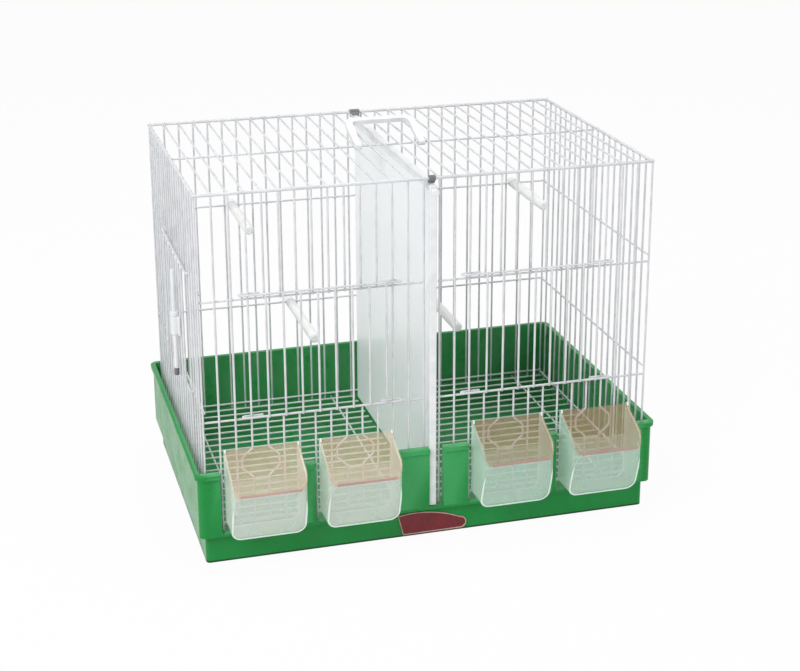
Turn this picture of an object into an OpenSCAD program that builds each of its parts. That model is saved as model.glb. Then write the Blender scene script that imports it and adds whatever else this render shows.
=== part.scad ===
// Canary breeding cage: a welded wire cage in two compartments that stands in a
// stepped plastic tray, with lifting doors, a pull-out divider and four outside feeders.
// Origin: middle of the tray's underside. X runs to the right, Y to the back, Z up.

/* [Wire cage] */
// Spacing of the upright wires, centre to centre
wire_pitch = 15; // [13:0.5:17]
// Spaces between uprights across the front (odd, the middle one takes the divider)
front_spaces = 29; // [25:2:37]
// Spaces between uprights from front to back
side_spaces = 19; // [15:2:25]
// Thickness of the cage wire
wire_d = 2; // [1.6:0.1:2.4]
// Thickness of the four wires round the roof
edge_wire_d = 3; // [2.4:0.1:3.6]
// Height of the roof wires above the table
roof_z = 355.5; // [337:0.5:400]
// How far crossing wires sink into each other at a weld
weld_bite = 0.2; // [0.15:0.05:0.4]

/* [Level wires] */
// Height of the bottom wire round the cage, above the tray ledge
foot_wire_lift = 7.5; // [6:0.5:12]
// Height of the lower level wire of the front
front_low_z = 140; // [135:0.5:152]
// Height of the upper level wire of the front
front_high_z = 256; // [242:0.5:262]
// Height of the lower level wire of the sides and back
side_low_z = 150; // [137:0.5:157]
// Height of the upper level wire of the sides and back
side_high_z = 264; // [247:0.5:269]

/* [Head holes] */
// Spaces from the cage middle to the inner head hole
hole_inner = 5; // [4:1:6]
// Spaces from the cage middle to the outer head hole
hole_outer = 11; // [10:1:12]
// Height where the wires start to spread
hole_bottom_z = 82; // [80:0.5:91]
// Full height of a head hole
hole_h = 29; // [24:0.5:36]
// How far each wire spreads sideways
hole_spread = 10; // [6:0.5:11]
// Height over which a wire leans outwards
hole_lean = 9; // [6:0.5:11]

/* [Lifting doors] */
// Spaces between the two guide wires of a door
door_spaces = 9; // [7:1:10]
// Spaces between the middle space and the inner guide wire of a front door
door_inset = 2; // [1:1:3]
// First space of the side door, counted from the front corner
side_door_start = 4; // [3:1:6]
// Number of upright wires in a door
door_wires = 8; // [6:1:9]
// Thickness of the door wire
door_wire_d = 2; // [1.6:0.1:2.4]
// From the left guide wire to the first door wire
door_first_gap = 15.75; // [12:0.25:18]
// From the last door wire to the right guide wire
door_last_gap = 7.25; // [6:0.25:12]
// Height of the top rail above the level wire it closes on
door_lap = 4.5; // [3:0.5:8]
// Reach of a rail hook beyond its guide wire
hook_reach = 9; // [7:0.5:11]
// Length of a hook's return leg behind the guide wire
hook_return = 17; // [12:0.5:19]
// Gap between a hook and its guide wire
hook_gap = 0.5; // [0.3:0.1:0.8]
// Gap below a rail that rests on a level wire
rest_gap = 0.1; // [0.05:0.05:0.3]

/* [Side door bolt] */
// Diameter of the drop bolt
bolt_d = 4; // [3:0.5:5]
// Gap around the bolt in its sleeve
bolt_gap = 0.3; // [0.2:0.1:0.5]
// Height of the bolt's lower end
bolt_z = 155; // [153:0.5:159]
// Length of the bolt with its tip
bolt_len = 106; // [90:1:120]
// Length of the dark tip
tip_len = 7; // [5:0.5:10]
// Height of the sleeve's underside
sleeve_z = 197; // [187:1:207]
// Height of the sleeve
sleeve_h = 18; // [14:1:24]
// Wall of the sleeve around the bolt
sleeve_wall = 1.6; // [1.2:0.1:2.4]

/* [Tray] */
// Gap between the cage wires and the tray's upper wall
cage_fit = 5; // [3:0.5:6]
// Thickness of the tray's upper wall
tray_wall = 2.5; // [2:0.1:3.5]
// How far the lower part of the tray is set in
step_inset = 6; // [4:0.5:8]
// Thickness of the lower wall
foot_wall = 3.5; // [2.5:0.1:4.5]
// Height of the underside of the step
step_z = 28; // [26:0.5:34]
// Thickness of the ledge that carries the cage
ledge_t = 2.5; // [2:0.1:4]
// Thickness of the tray floor
floor_t = 2.5; // [2:0.1:4]
// Height of the tray rim
rim_z = 92; // [64:0.5:96]
// Width of the lip round the rim
lip_w = 2.5; // [1.5:0.1:4]
// Height of the lip
lip_h = 4.5; // [3:0.1:8]
// Radius of the tray's corners
tray_r = 6; // [4:0.5:10]
// Width of a feeder notch in the front wall
notch_w = 80; // [76:0.5:84]
// Width of the divider slot in the front wall
slot_w = 14; // [12:0.5:18]
// Gap between the divider's strip and the left cheek of its slot
slot_gap = 0.5; // [0.4:0.1:1]
// Gap between the front blocks and the cage wires
block_gap = 0.5; // [0.4:0.1:1]

/* [Badge] */
// Width of the bare plate on the tray front
badge_w = 69; // [50:1:80]
// Height of the plate at its slanted left end
badge_h = 20.5; // [16:0.5:22]
// Height of the plate at its round right end
badge_tail_h = 12; // [9:0.5:15]
// Rise of the plate's arched top
badge_rise = 5; // [3:0.5:6]
// Thickness of the plate
badge_t = 1.6; // [1:0.1:3]
// Height of the plate's lower edge
badge_z = 2.5; // [1:0.5:3.5]

/* [Floor grilles] */
// Thickness of the grille wire
grille_wire_d = 2; // [1.4:0.1:2.4]
// From the side wall wires to the outer support wire
support_side = 33; // [30:0.5:35]
// From the middle of the cage to the inner support wire
support_mid = 30; // [26:0.5:34]
// From the middle of the cage to the grille's edge
grille_mid = 5; // [4:0.5:8]
// Bearing of the grille wires on the ledge
grille_bearing = 5; // [3:0.5:6]

/* [Divider] */
// Thickness of the divider sheet
sheet_t = 2; // [1.5:0.1:3]
// Width of the strip along the sheet's front edge
strip_w = 7; // [6:0.5:9]
// Depth of that strip
strip_d = 4; // [3:0.5:5]
// Gap of the divider in its guide, above the ledge and before the back wires
slide_gap = 0.5; // [0.4:0.1:1]
// Wall of the guide channel
guide_t = 1.5; // [1.2:0.1:2]
// Depth of the guide channel
guide_h = 8; // [5:0.5:12]
// Radius of the divider's knob
knob_r = 3.5; // [2.5:0.5:5]
// Length of the knob
knob_len = 8; // [5:0.5:12]
// Depth of the knob below the strip's top end
knob_drop = 5.5; // [5:0.5:12]

/* [Clips] */
// Width of the front clip
front_clip_w = 6; // [4:0.5:10]
// Width of the rear clip
rear_clip_w = 10; // [8:0.5:16]
// Wall of a clip around the roof edge wire
clip_wall = 1.2; // [1:0.1:2]

/* [Carry handle] */
// Outer width of the handle
handle_w = 72; // [70:0.5:73]
// Width of each leg
leg_w = 7; // [5:0.5:9]
// Thickness of the strap
strap_t = 5; // [4:0.5:6]
// From the hinge wire to the outer face of the grip
handle_len = 48; // [40:1:60]
// Width of the grip bar, seen from above
grip_w = 6; // [5:0.5:9]
// Outer radius of an eye
eye_r = 3.2; // [2.6:0.1:3.6]
// Running gap between an eye and the hinge wire
eye_gap = 0.08; // [0.05:0.01:0.1]
// Lean of the handle above the roof as it rests
handle_lean = 20; // [14:1:30]

/* [Feeders] */
// Width of a feeder
feeder_w = 70.4; // [64:0.2:74]
// Wall of the cup
cup_wall = 1.6; // [1.2:0.1:2.4]
// Height of the cup's underside above the ledge
feeder_lift = 2.5; // [2:0.5:5]
// Depth of the cup at its bottom
cup_foot = 27; // [22:0.5:32]
// Reach of the cup's front lip
cup_lip = 43.5; // [38:0.5:50]
// Height of the front lip above the cup's underside
lip_up = 50; // [44:0.5:54]
// Reach of the side walls' shoulder
shoulder_out = 34; // [30:0.5:36]
// Height of the shoulder above the cup's underside
shoulder_up = 63.5; // [58:0.5:68]
// Height of the side walls at the back
back_up = 79; // [75:0.5:85]
// Height of the back wall, below the head hole
back_wall_up = 46; // [38:0.5:48]
// Radius of the cup's front corners
cup_r = 9; // [6:0.5:12]
// Radius of the cup's two lower corners, seen from the front
cup_foot_r = 10; // [5:0.5:14]
// Gap between the feeder and the wires it hangs on
feeder_gap = 0.4; // [0.3:0.1:0.6]
// Height of the tab that grips between two wires
tab_h = 14; // [10:0.5:18]
// Reach of the tab past the wires
tab_len = 4; // [3:0.5:6]
// Thickness of the hood
hood_t = 1.6; // [1.2:0.1:2.2]
// Gap between the hood and the cup's edges
hood_gap = 0.3; // [0.3:0.1:0.6]
// Radius of the hood's hinge pins
pin_r = 1.1; // [0.9:0.1:1.3]
// Running gap around a hinge pin
pin_gap = 0.08; // [0.05:0.01:0.1]
// Wall of the cup's ear around a hinge pin
ear_wall = 1.2; // [1:0.1:1.4]
// Height of the turned edge along the hood's front
hood_edge_h = 2.5; // [2:0.5:5]

/* [Perches] */
// Diameter of a perch
perch_d = 10; // [8:0.5:11]
// Length of the lower left perch inside the cage
perch_lower_left_len = 120; // [80:1:160]
// Length of the lower right perch inside the cage
perch_lower_right_len = 130; // [80:1:160]
// Length of the two upper perches inside the cage
perch_upper_len = 97; // [70:1:140]
// Spaces from the cage middle to the two lower perches
perch_lower_at = 5; // [3:1:8]
// Spaces from the cage middle to the upper left perch
perch_upper_left_at = 9; // [6:1:12]
// Spaces from the cage middle to the upper right perch
perch_upper_right_at = 12; // [6:1:13]
// Gap of the perch's slot around the level wire
perch_gap = 0.1; // [0.05:0.05:0.3]
// Reach of the perch behind the back wires
perch_tail = 4; // [2:0.5:8]

/* [Hidden] */
$fn = 48;

// Sides of a wire's cross-section: flats face the wires it is welded to
WIRE_SIDES = 8;
FLAT_TURN = 180 / WIRE_SIDES;
// A cut runs this far past the face that it opens
PAST = 1;

wire_r = wire_d / 2;
edge_r = edge_wire_d / 2;
// Half the cage between the centres of its corner wires
half_w = front_spaces * wire_pitch / 2;
half_d = side_spaces * wire_pitch / 2;
// Distance between the centres of two wires that are welded across each other
weld_step = wire_d - weld_bite;
ledge_z = step_z + ledge_t;
foot_wire_z = ledge_z + foot_wire_lift;
// Level wires lie on the inside of the uprights
level_front_y = -half_d + weld_step;
level_back_y = half_d - weld_step;
level_side_x = half_w - weld_step;

// Offsets of the special uprights from the cage middle, in spaces
guide_near = door_inset + 0.5;
guide_far = guide_near + door_spaces;
head_holes = [-hole_outer, -hole_inner, hole_inner, hole_outer];

// Tray: half sizes of its stages
upper_in = [half_w + wire_r + cage_fit, half_d + wire_r + cage_fit];
upper_out = upper_in + [tray_wall, tray_wall];
foot_out = upper_out - [step_inset, step_inset];
foot_in = foot_out - [foot_wall, foot_wall];
block_back_y = -half_d - wire_r - block_gap;

// Doors: a rail passes in front of the guide wire and its hook returns behind it
door_w = door_spaces * wire_pitch;
rail_out = wire_r + hook_gap + door_wire_d / 2;
door_wire_out = rail_out + door_wire_d - weld_bite;
rail_lift = wire_r + door_wire_d / 2 + rest_gap;
door_wire_pitch = (door_w - door_first_gap - door_last_gap) / (door_wires - 1);
door_front_x = [-guide_far * wire_pitch, guide_near * wire_pitch];
side_door_y = -half_d + (side_door_start + door_spaces) * wire_pitch;

// Side bolt: it hangs half a space before the last but one door wire
bolt_spaces_in = 1.5;
bolt_at = door_first_gap + (door_wires - 1 - bolt_spaces_in) * door_wire_pitch;
bolt_out = door_wire_out + door_wire_d / 2 + sleeve_wall + bolt_gap + bolt_d / 2;
collar_h = 4;
collar_rim = 2;
collar_r = bolt_d / 2 + collar_rim;

// Divider
sheet_top = roof_z - weld_step - wire_r - guide_t - 2 * slide_gap;
sheet_bottom = ledge_z + slide_gap;
sheet_front_y = -half_d - wire_r - slide_gap;
sheet_back_y = level_back_y - wire_r - slide_gap;
guide_top = sheet_top + slide_gap + guide_t + rest_gap;
guide_front_y = level_front_y + wire_r + slide_gap;

// Handle
hinge_z = roof_z - weld_step;

// Feeder: reach and height of its corners, from the back face and the underside
feeder_z = ledge_z + feeder_lift;
feeder_y = -half_d - wire_r - feeder_gap;
hood_slope = atan((back_up - shoulder_up) / shoulder_out);
pin_out = pin_r + ear_wall + 0.6;
pin_up = back_up - pin_out * tan(hood_slope) + (hood_gap + hood_t / 2) / cos(hood_slope);
ear_r = pin_r + ear_wall;

// A wire with flat sides along each axis, from one end to the other
module wire_x(from, to, y, z, d = wire_d)
    translate([from, y, z]) rotate([0, 90, 0]) rotate([0, 0, FLAT_TURN])
        cylinder(h = to - from, d = d / cos(FLAT_TURN), $fn = WIRE_SIDES);
module wire_y(from, to, x, z, d = wire_d)
    translate([x, from, z]) rotate([-90, 0, 0]) rotate([0, 0, FLAT_TURN])
        cylinder(h = to - from, d = d / cos(FLAT_TURN), $fn = WIRE_SIDES);
module wire_z(from, to, x, y, d = wire_d)
    translate([x, y, from]) rotate([0, 0, FLAT_TURN])
        cylinder(h = to - from, d = d / cos(FLAT_TURN), $fn = WIRE_SIDES);

// The lean of a stretch of wire in the front's plane, from [x, z] to [x, z]
function lean(from, to) = atan2(to[0] - from[0], to[1] - from[1]);

// One stretch of a bent wire; its ends are cut square to cut_from and cut_to
module bent_stretch(from, to, cut_from, cut_to) {
    block = 4 * wire_d;
    difference() {
        translate([from[0], -half_d, from[1]]) rotate([0, lean(from, to), 0])
            rotate([0, 0, FLAT_TURN]) translate([0, 0, -wire_d])
                cylinder(h = norm(to - from) + 2 * wire_d, d = wire_d / cos(FLAT_TURN), $fn = WIRE_SIDES);
        translate([from[0], -half_d, from[1]]) rotate([0, cut_from, 0])
            translate([-block / 2, -block / 2, -block]) cube(block);
        translate([to[0], -half_d, to[1]]) rotate([0, cut_to, 0])
            translate([-block / 2, -block / 2, 0]) cube(block);
    }
}

// An upright of the front that steps sideways around a head hole, with mitred bends
module spread_upright(x, side, top) {
    path = [
        [x, ledge_z], [x, hole_bottom_z],
        [x + side * hole_spread, hole_bottom_z + hole_lean],
        [x + side * hole_spread, hole_bottom_z + hole_h - hole_lean],
        [x, hole_bottom_z + hole_h], [x, top]
    ];
    last = len(path) - 2;
    leans = [for (i = [0 : last]) lean(path[i], path[i + 1])];
    for (i = [0 : last])
        bent_stretch(path[i], path[i + 1],
            (leans[max(i - 1, 0)] + leans[i]) / 2, (leans[i] + leans[min(i + 1, last)]) / 2);
}

// Which way an upright leans around a head hole: -1, 0 or 1
function spread_side(at) =
    let (hit = [for (hole = head_holes) if (abs(at - hole) == 0.5) at - hole])
    len(hit) == 0 ? 0 : sign(hit[0]);

module front_upright(at) {
    x = at * wire_pitch;
    over_door = abs(at) > guide_near && abs(at) < guide_far;
    top = over_door ? front_low_z + wire_r : roof_z;
    if (spread_side(at) != 0) spread_upright(x, spread_side(at), top);
    else wire_z(ledge_z, top, x, -half_d);
    if (over_door) wire_z(front_high_z - wire_r, roof_z, x, -half_d);
}

module front_panel() color("white") {
    for (i = [0 : front_spaces]) front_upright(i - front_spaces / 2);
    for (z = [foot_wire_z, front_low_z, front_high_z]) {
        wire_x(-half_w, -wire_pitch / 2 + wire_r, level_front_y, z);
        wire_x(wire_pitch / 2 - wire_r, half_w, level_front_y, z);
    }
    wire_x(-half_w - edge_r, half_w + edge_r, -half_d, roof_z, edge_wire_d);
}

module back_panel() color("white") {
    for (i = [0 : front_spaces])
        wire_z(ledge_z, roof_z, (i - front_spaces / 2) * wire_pitch, half_d);
    for (z = [foot_wire_z, side_low_z, side_high_z]) wire_x(-half_w, half_w, level_back_y, z);
    wire_x(-half_w - edge_r, half_w + edge_r, half_d, roof_z, edge_wire_d);
}

// A side wall: side is -1 for the left and 1 for the right
module side_wall(side, has_door) {
    first = side_door_start;
    last = side_door_start + door_spaces;
    inner = half_d - weld_step - wire_r;
    for (i = [1 : side_spaces - 1]) {
        y = i * wire_pitch - half_d;
        if (has_door && i > first && i < last) {
            wire_z(ledge_z, side_low_z + wire_r, side * half_w, y);
            wire_z(side_high_z - wire_r, roof_z, side * half_w, y);
        }
        else wire_z(ledge_z, roof_z, side * half_w, y);
    }
    wire_y(-inner, inner, side * level_side_x, foot_wire_z);
    for (z = [side_low_z, side_high_z]) wire_y(-half_d, inner, side * level_side_x, z);
    wire_y(-half_d + edge_r, half_d - edge_r, side * half_w, roof_z, edge_wire_d);
}

module side_panel_left() color("white") side_wall(-1, true);
module side_panel_right() color("white") side_wall(1, false);

// The roof: wires from front to back, and the round hinge wire across their middle
module top_panel() color("white") {
    for (i = [1 : front_spaces - 1])
        wire_y(-half_d + edge_r, half_d - edge_r, (i - front_spaces / 2) * wire_pitch, roof_z);
    translate([-half_w + edge_r, 0, hinge_z]) rotate([0, 90, 0])
        cylinder(h = 2 * (half_w - edge_r), r = wire_r);
}

// A door as seen from outside: its left guide wire stands at x = 0, y = 0
module hook(x, z, way) {
    turn_x = x + way * (hook_reach - rail_out - door_wire_d / 2);
    leg_from = way < 0 ? turn_x : turn_x - hook_return;
    translate([turn_x, 0, z]) rotate([0, 0, way < 0 ? 90 : -90])
        rotate_extrude(angle = 180) translate([rail_out, 0]) circle(d = door_wire_d);
    translate([leg_from, rail_out, z]) rotate([0, 90, 0])
        cylinder(h = hook_return, d = door_wire_d);
}

module lifting_door(height) {
    reach = hook_reach - rail_out - door_wire_d / 2;
    for (z = [0, height]) {
        translate([-reach, -rail_out, z]) rotate([0, 90, 0])
            cylinder(h = door_w + 2 * reach, d = door_wire_d);
        hook(0, z, -1);
        hook(door_w, z, 1);
    }
    for (i = [0 : door_wires - 1])
        translate([door_first_gap + i * door_wire_pitch, -door_wire_out, -door_wire_d / 2])
            cylinder(h = height + door_wire_d, d = door_wire_d);
}

module front_door(x)
    translate([x, -half_d, front_low_z + rail_lift])
        lifting_door(front_high_z - front_low_z + door_lap - rail_lift);

module door_left() color("whitesmoke") front_door(door_front_x[0]);
module door_right() color("whitesmoke") front_door(door_front_x[1]);

// Puts what is drawn for a door onto the left side wall
module on_left_wall() translate([-half_w, side_door_y, 0]) rotate([0, 0, -90]) children();

module side_door() color("whitesmoke")
    on_left_wall() translate([0, 0, side_low_z + rail_lift])
        lifting_door(side_high_z - side_low_z + door_lap - rail_lift);

// The sleeve is a plate across two door wires with a bored barrel on its face
module bolt_sleeve() color("white") on_left_wall() translate([bolt_at, 0, sleeve_z])
    difference() {
        union() {
            translate([-door_wire_pitch / 2 - door_wire_d, -door_wire_out - door_wire_d / 2 - sleeve_wall, 0])
                cube([door_wire_pitch + 2 * door_wire_d, sleeve_wall, sleeve_h]);
            translate([0, -bolt_out, 0])
                cylinder(h = sleeve_h, r = bolt_d / 2 + bolt_gap + sleeve_wall);
        }
        translate([0, -bolt_out, -PAST])
            cylinder(h = sleeve_h + 2 * PAST, r = bolt_d / 2 + bolt_gap);
    }

module side_bolt() color("white") on_left_wall() translate([bolt_at, -bolt_out, 0]) {
    translate([0, 0, bolt_z + tip_len]) cylinder(h = bolt_len - tip_len, d = bolt_d);
    translate([0, 0, sleeve_z + sleeve_h + rest_gap]) cylinder(h = collar_h, r = collar_r);
}

module bolt_tip() color("dimgray") on_left_wall() translate([bolt_at, -bolt_out, bolt_z])
    cylinder(h = tip_len, d = bolt_d + 1);

// A slab with round upright corners, from half sizes
module slab(half, h, r)
    linear_extrude(height = h) {
        square([2 * half[0] - 2 * r, 2 * half[1]], center = true);
        square([2 * half[0], 2 * half[1] - 2 * r], center = true);
        for (x = [-1, 1], y = [-1, 1])
            translate([x * (half[0] - r), y * (half[1] - r)]) circle(r = r);
    }

// Centres of the openings in the tray's front wall, each with its width; the divider's
// strip stands at the left side of its slot
slot_x = (slot_w - strip_w) / 2 - slot_gap;
front_cuts = concat([[slot_x, slot_w]], [for (hole = head_holes) [hole * wire_pitch, notch_w]]);

// The cheeks of an opening: they stand behind the front wall, on both sides of it
module cheeks(x, width)
    for (side = [-1, 1])
        translate([x + side * (width + tray_wall) / 2, (block_back_y - upper_out[1]) / 2, 0])
            translate([-tray_wall / 2, -(block_back_y + upper_out[1]) / 2, ledge_z])
                cube([tray_wall, block_back_y + upper_out[1], rim_z - ledge_z]);

module base_tray() color("seagreen") difference() {
    union() {
        difference() {
            union() {
                slab(foot_out, step_z + ledge_t / 2, tray_r - 2);
                translate([0, 0, step_z]) slab(upper_out, rim_z - step_z, tray_r);
                translate([0, 0, rim_z - lip_h])
                    slab(upper_out + [lip_w, lip_w], lip_h, tray_r + lip_w);
            }
            translate([0, 0, floor_t]) slab(foot_in, rim_z, tray_r - foot_wall);
            translate([0, 0, ledge_z]) slab(upper_in, rim_z, tray_r - tray_wall);
        }
        for (cut = front_cuts) cheeks(cut[0], cut[1]);
        // The flange that closes the top of the front blocks
        translate([-upper_in[0], -upper_out[1], rim_z - tray_wall])
            cube([2 * upper_in[0], block_back_y + upper_out[1], tray_wall]);
    }
    for (cut = front_cuts)
        translate([cut[0] - cut[1] / 2, -upper_out[1] - lip_w - PAST, ledge_z])
            cube([cut[1], block_back_y + upper_out[1] + lip_w + 2 * PAST, rim_z]);
}

// A bare plate: slanted left end, arched top that falls to the round right end
module badge_outline() {
    slant = badge_h * 0.25;
    steps = 24;
    left = -badge_w / 2;
    end_r = badge_tail_h / 2;
    end_x = badge_w / 2 - end_r;
    arch = [for (i = [0 : steps]) let (t = i / steps)
        [left + t * (end_x - left),
        badge_h + t * (badge_tail_h - badge_h) + 4 * badge_rise * t * (1 - t)]];
    round_end = [for (i = [1 : steps - 1]) let (a = 90 - 180 * i / steps)
        [end_x + end_r * cos(a), end_r + end_r * sin(a)]];
    polygon(concat([[left + slant, 0]], arch, round_end, [[end_x, 0]]));
}

module front_badge() color("firebrick")
    translate([0, -foot_out[1], badge_z]) rotate([90, 0, 0])
        linear_extrude(height = badge_t) badge_outline();

// A floor grille: side is -1 for the left and 1 for the right compartment
module floor_grille(side) {
    outer = foot_in[0] + grille_bearing;
    reach_y = foot_in[1] + grille_bearing;
    support_z = ledge_z + grille_wire_d / 2;
    top_z = support_z + grille_wire_d - weld_bite;
    for (i = [0 : side_spaces - 1]) {
        y = (i + 0.5) * wire_pitch - half_d;
        if (side < 0) wire_x(-outer, -grille_mid, y, top_z, grille_wire_d);
        else wire_x(grille_mid, outer, y, top_z, grille_wire_d);
    }
    for (x = [half_w - support_side, support_mid])
        wire_y(-reach_y, reach_y, side * x, support_z, grille_wire_d);
}

module floor_grille_left() color("gainsboro") floor_grille(-1);
module floor_grille_right() color("gainsboro") floor_grille(1);

module divider_panel() color("ghostwhite")
    translate([-sheet_t / 2, sheet_front_y, sheet_bottom])
        cube([sheet_t, sheet_back_y - sheet_front_y, sheet_top - sheet_bottom]);

module divider_edge() color("white")
    translate([-strip_w / 2, sheet_front_y - strip_d, sheet_bottom])
        cube([strip_w, strip_d, sheet_top - sheet_bottom]);

module divider_knob() color("white")
    translate([0, sheet_front_y - strip_d, sheet_top - knob_drop]) rotate([90, 0, 0]) {
        cylinder(h = knob_len * 0.6, r = knob_r * 0.6);
        translate([0, 0, knob_len * 0.6]) cylinder(h = knob_len * 0.4, r = knob_r);
    }

// The channel under the roof that the top of the divider runs in
module divider_guide() color("white") {
    inner = sheet_t / 2 + slide_gap;
    run = sheet_back_y - guide_front_y;
    translate([-inner - guide_t, guide_front_y, guide_top - guide_t])
        cube([2 * (inner + guide_t), run, guide_t]);
    for (x = [-inner - guide_t, inner])
        translate([x, guide_front_y, guide_top - guide_h]) cube([guide_t, run, guide_h]);
}

// A clip round the roof's edge wire that holds one end of the guide: way points inwards
module edge_clip(x, width, y, way, inner_y) {
    bore_r = edge_r / cos(FLAT_TURN) + rest_gap;
    body_r = bore_r + clip_wall;
    low = guide_top - guide_t;
    translate([x - width / 2, y, 0]) difference() {
        union() {
            translate([0, 0, roof_z]) rotate([0, 90, 0]) cylinder(h = width, r = body_r);
            translate([0, way > 0 ? 0 : inner_y - y, low])
                cube([width, abs(inner_y - y), roof_z - low]);
        }
        translate([-PAST, 0, roof_z]) rotate([0, 90, 0])
            cylinder(h = width + 2 * PAST, r = bore_r);
        translate([-PAST, -body_r - PAST, low - body_r])
            cube([width + 2 * PAST, 2 * body_r + 2 * PAST, body_r]);
    }
}

module front_clip() color("dimgray")
    edge_clip(0, front_clip_w, -half_d, 1, guide_front_y);
module rear_clip() color("dimgray")
    edge_clip(0, rear_clip_w, half_d, -1, sheet_back_y);

// The handle: a flat U whose legs end in eyes on the hinge wire
module handle_outline() {
    outer_r = 10;
    inner_r = 6;
    half = handle_w / 2;
    difference() {
        union() {
            translate([-half, 0]) square([handle_w, handle_len - outer_r]);
            translate([-half + outer_r, 0]) square([handle_w - 2 * outer_r, handle_len]);
            for (x = [-1, 1])
                translate([x * (half - outer_r), handle_len - outer_r]) circle(r = outer_r);
        }
        translate([-half + leg_w, -PAST])
            square([handle_w - 2 * leg_w, handle_len - grip_w - inner_r + PAST]);
        translate([-half + leg_w + inner_r, -PAST])
            square([handle_w - 2 * leg_w - 2 * inner_r, handle_len - grip_w + PAST]);
        for (x = [-1, 1])
            translate([x * (half - leg_w - inner_r), handle_len - grip_w - inner_r])
                circle(r = inner_r);
    }
}

module carry_handle() color("white")
    translate([0, 0, hinge_z]) rotate([handle_lean, 0, 0]) difference() {
        union() {
            translate([0, 0, -strap_t / 2]) linear_extrude(height = strap_t) handle_outline();
            for (x = [-handle_w / 2, handle_w / 2 - leg_w])
                translate([x, 0, 0]) rotate([0, 90, 0]) cylinder(h = leg_w, r = eye_r);
        }
        translate([-handle_w / 2 - PAST, 0, 0]) rotate([0, 90, 0])
            cylinder(h = handle_w + 2 * PAST, r = wire_r + eye_gap);
    }

// Feeder, drawn with its back face at y = 0, its underside at z = 0 and its front to -y
module feeder_plan(width, reach, r) {
    translate([-width / 2, -reach + r]) square([width, reach - r]);
    translate([-width / 2 + r, -reach]) square([width - 2 * r, reach]);
    for (x = [-1, 1]) translate([x * (width / 2 - r), -reach + r]) circle(r = r);
}

// A side outline, given as [reach, height] points, drawn across a width
module side_form(width, points)
    translate([-width / 2, 0, 0]) rotate([90, 0, 90])
        linear_extrude(height = width) polygon([for (p = points) [-p[0], p[1]]]);

// The feeder's outline seen from the front, with round lower corners
module front_form(width, r, low, high)
    translate([0, PAST, low]) rotate([90, 0, 0]) linear_extrude(height = cup_lip + 2 * PAST) {
        translate([-width / 2, r]) square([width, high - low - r]);
        translate([-width / 2 + r, 0]) square([width - 2 * r, high - low]);
        for (x = [-1, 1]) translate([x * (width / 2 - r), r]) circle(r = r);
    }

module feeder_cup() {
    w = cup_wall;
    inner_w = feeder_w - 2 * w;
    top = back_up + 2 * ear_r;
    outer_points = [[0, 0], [cup_foot, 0], [cup_lip, lip_up], [shoulder_out, shoulder_up], [0, back_up]];
    inner_points = [[w, w], [cup_foot - w, w], [cup_lip - w, lip_up], [cup_lip - w, top], [w, top]];
    difference() {
        union() {
            intersection() {
                side_form(feeder_w, outer_points);
                linear_extrude(height = back_up) feeder_plan(feeder_w, cup_lip, cup_r);
                front_form(feeder_w, cup_foot_r, 0, back_up);
            }
            for (x = [-feeder_w / 2, feeder_w / 2 - w])
                translate([x, -pin_out, pin_up]) rotate([0, 90, 0]) cylinder(h = w, r = ear_r);
            translate([-wire_pitch / 2 + wire_r + feeder_gap, -w, back_wall_up - tab_h])
                cube([wire_pitch - wire_d - 2 * feeder_gap, w + feeder_gap + wire_d + tab_len, tab_h]);
        }
        intersection() {
            side_form(inner_w, inner_points);
            linear_extrude(height = top) feeder_plan(inner_w, cup_lip - w, cup_r - w);
            front_form(inner_w, cup_foot_r - w, w, top);
        }
        translate([-inner_w / 2, -2 * w, back_wall_up]) cube([inner_w, 2 * w + PAST, top]);
        translate([-feeder_w / 2 - PAST, -pin_out, pin_up]) rotate([0, 90, 0])
            cylinder(h = feeder_w + 2 * PAST, r = pin_r + pin_gap);
    }
}

module feeder_hood() {
    barrel_w = feeder_w - 2 * cup_wall - 2 * hood_gap;
    lower = hood_gap / cos(hood_slope);
    upper = (hood_gap + hood_t) / cos(hood_slope);
    start = pin_out + ear_r + hood_gap;
    front = hood_gap + hood_t;
    function edge_up(out) = back_up - out * tan(hood_slope);
    plate = [
        [start, edge_up(start) + lower], [shoulder_out, shoulder_up + lower],
        [cup_lip + hood_gap, lip_up + hood_gap],
        [cup_lip + front, lip_up + hood_gap], [cup_lip + front, lip_up + hood_gap + hood_edge_h],
        [shoulder_out + front, shoulder_up + upper], [start, edge_up(start) + upper]
    ];
    neck = [
        [pin_out, edge_up(pin_out) + lower], [start + hood_t, edge_up(start + hood_t) + lower],
        [start + hood_t, edge_up(start + hood_t) + upper], [pin_out, edge_up(pin_out) + upper]
    ];
    intersection() {
        side_form(feeder_w, plate);
        linear_extrude(height = 2 * back_up) feeder_plan(feeder_w, cup_lip + front, cup_r);
    }
    side_form(barrel_w, neck);
    translate([-barrel_w / 2, -pin_out, pin_up]) rotate([0, 90, 0])
        cylinder(h = barrel_w, r = hood_t / 2);
    translate([-feeder_w / 2, -pin_out, pin_up]) rotate([0, 90, 0])
        cylinder(h = feeder_w, r = pin_r);
}

// Puts what is drawn for a feeder at one of the four head holes
module at_hole(i) translate([head_holes[i] * wire_pitch, feeder_y, feeder_z]) children();

module feeder_cup_1() color("lightcyan") at_hole(0) feeder_cup();
module feeder_cup_2() color("lightcyan") at_hole(1) feeder_cup();
module feeder_cup_3() color("lightcyan") at_hole(2) feeder_cup();
module feeder_cup_4() color("lightcyan") at_hole(3) feeder_cup();
module feeder_hood_1() color("rosybrown") at_hole(0) feeder_hood();
module feeder_hood_2() color("rosybrown") at_hole(1) feeder_hood();
module feeder_hood_3() color("rosybrown") at_hole(2) feeder_hood();
module feeder_hood_4() color("rosybrown") at_hole(3) feeder_hood();

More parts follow.
